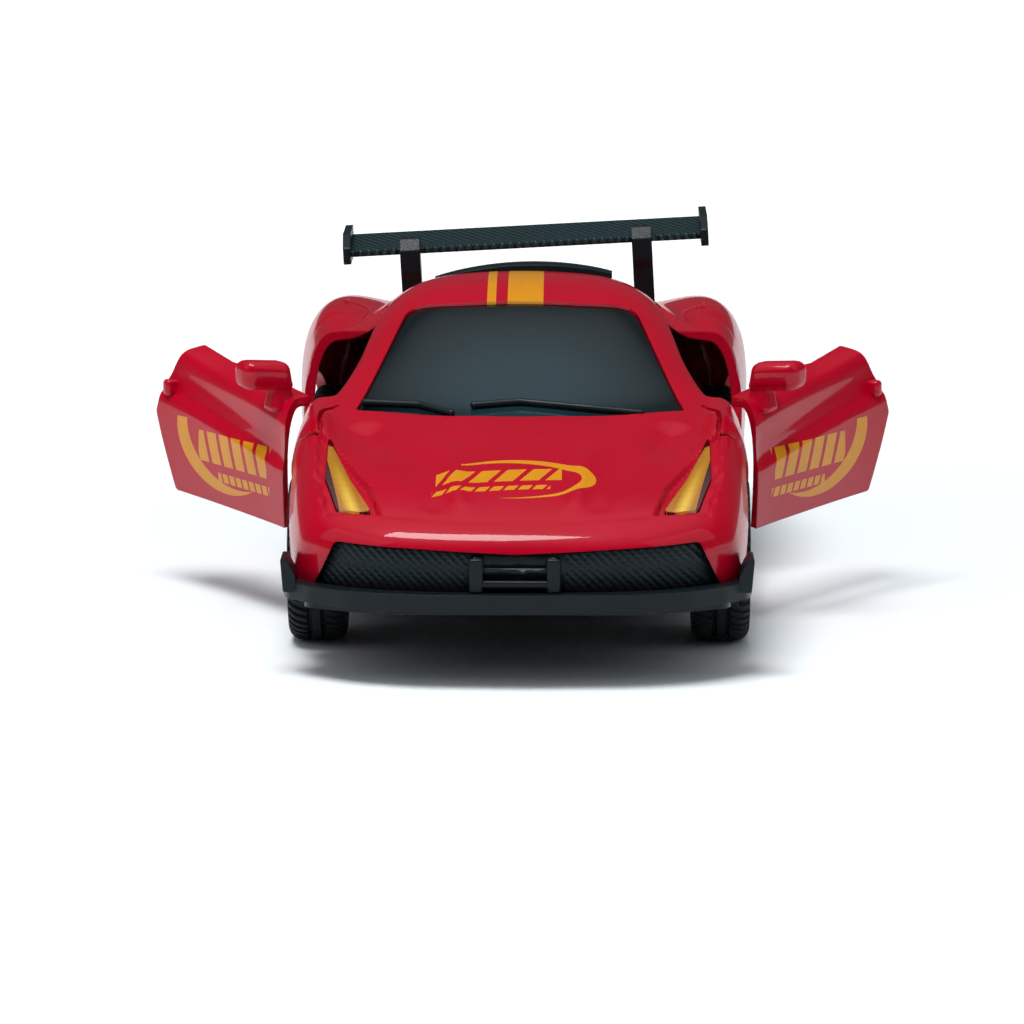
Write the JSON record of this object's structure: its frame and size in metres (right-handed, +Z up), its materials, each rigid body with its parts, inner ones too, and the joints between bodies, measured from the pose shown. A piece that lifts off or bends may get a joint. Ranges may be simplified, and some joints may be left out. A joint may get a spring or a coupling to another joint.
{
  "type": "pull back toy car",
  "caption": "Die-cast pull-back sports car with opening doors, tall rear wing, dark glazing and a spring motor on its rear axle.",
  "frame": {"origin": "on the ground, at the middle of the whole car's length and width", "axes": "+Z up, -Y towards the nose, +X towards the car's own left side"},
  "size_m": [0.083, 0.1231, 0.037],
  "materials": {
    "body_paint": "high gloss red enamel on a zinc casting",
    "black_plastic": "satin black moulding, fine woven texture on the wing and grille",
    "tinted_glazing": "dark smoked, glossy",
    "amber_lens": "amber, glossy",
    "red_lens": "deep red, glossy",
    "interior_plastic": "matte dark grey",
    "exhaust_chrome": "plated",
    "axle_steel": "bright drawn steel",
    "spring_steel": "blued spring strip",
    "rim_silver": "silver paint on plastic, satin",
    "tyre_rubber": "matte black",
    "gear_nylon": "natural nylon",
    "motor_plastic": "grey moulding"
  },
  "bodies": {
    "car": {"body_shell": "body_paint", "windscreen": "tinted_glazing", "windscreen_wipers": "black_plastic", "engine_cover": "black_plastic", "grille_insert": "black_plastic", "front_splitter": "black_plastic", "rear_wing": "black_plastic", "rear_diffuser": "black_plastic", "exhaust_tips": "exhaust_chrome", "interior_tub": "interior_plastic", "steering_wheel": "interior_plastic", "base_plate": "black_plastic", "base_screws": "axle_steel", "headlight_left": "amber_lens", "headlight_right": "amber_lens", "tail_light_left": "red_lens", "tail_light_right": "red_lens", "motor_case_left": "motor_plastic", "motor_case_right": "motor_plastic", "mainspring": "spring_steel"},
    "door_left": {"door_left": "body_paint"},
    "door_right": {"door_right": "body_paint"},
    "front_wheels": {"front_axle": "axle_steel", "rim_front_left": "rim_silver", "rim_front_right": "rim_silver", "tyre_front_left": "tyre_rubber", "tyre_front_right": "tyre_rubber"},
    "rear_wheels": {"rear_axle": "axle_steel", "rim_rear_left": "rim_silver", "rim_rear_right": "rim_silver", "tyre_rear_left": "tyre_rubber", "tyre_rear_right": "tyre_rubber", "axle_gear": "gear_nylon"},
    "idler": {"idler_gear": "gear_nylon"},
    "spring_drive": {"spring_gear": "gear_nylon"}
  },
  "joints": [
    {"name": "door_left_swing", "type": "hinge", "parent": "car", "child": "door_left", "pos_m": [0.0203, -0.021, 0.0195], "axis": [0, 0, -1], "range_deg": [-30, 5]},
    {"name": "door_right_swing", "type": "hinge", "parent": "car", "child": "door_right", "pos_m": [-0.0203, -0.021, 0.0195], "axis": [0, 0, 1], "range_deg": [-30, 5]},
    {"name": "front_wheels_spin", "type": "hinge", "parent": "car", "child": "front_wheels", "pos_m": [0, -0.0304, 0.009], "axis": [1, 0, 0], "continuous": true},
    {"name": "rear_wheels_spin", "type": "hinge", "parent": "car", "child": "rear_wheels", "pos_m": [0, 0.0392, 0.009], "axis": [1, 0, 0], "continuous": true},
    {"name": "idler_spin", "type": "hinge", "parent": "car", "child": "idler", "pos_m": [0, 0.03216, 0.01313], "axis": [1, 0, 0], "continuous": true},
    {"name": "spring_gear_spin", "type": "hinge", "parent": "car", "child": "spring_drive", "pos_m": [0, 0.02428, 0.01524], "axis": [1, 0, 0], "continuous": true}
  ],
  "couplings": [
    {"joint": "idler_spin", "follows": "rear_wheels_spin", "ratio": -0.5},
    {"joint": "spring_gear_spin", "follows": "rear_wheels_spin", "ratio": 0.19231}
  ]
}
